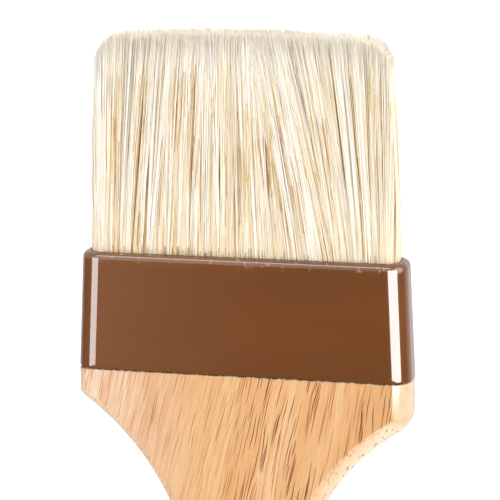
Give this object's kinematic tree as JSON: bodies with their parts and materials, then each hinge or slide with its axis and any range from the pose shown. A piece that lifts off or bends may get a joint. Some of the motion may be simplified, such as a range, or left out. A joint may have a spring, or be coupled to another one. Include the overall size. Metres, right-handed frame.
{
  "type": "wide flat brush",
  "caption": "Wide flat brush: rounded hardwood handle with a hanging hole, moulded plastic ferrule and natural bristle rows that flex and spring back.",
  "frame": {"origin": "centre of the brush's box at the end of the handle, so the brush stands upright on its handle end", "axes": "+Z along the brush from the handle's end to the bristle tips, X across its width, -Y out of the front broad face"},
  "size_m": [0.0852, 0.0146, 0.225],
  "materials": {
    "lacquered_wood": "gloss",
    "brown_plastic": "gloss",
    "adhesive": "satin",
    "resin": "satin",
    "plain_wood": "matte",
    "bristle": "satin"
  },
  "bodies": {
    "brush_body": {"handle": "lacquered_wood", "ferrule": "brown_plastic", "handle_glue": "adhesive", "setting": "resin", "spacer_plug": "plain_wood", "bristle_roots_front": "bristle", "bristle_roots_rear": "bristle"},
    "bristle_pack": {"bristles_front": "bristle", "bristles_rear": "bristle"}
  },
  "joints": [
    {"name": "bristle_flex", "type": "hinge", "parent": "brush_body", "child": "bristle_pack", "pos_m": [0, 0, 0.17783], "axis": [1, 0, 0], "range_deg": [-35, 35], "stiffness_Nm_per_rad": 0.35}
  ]
}
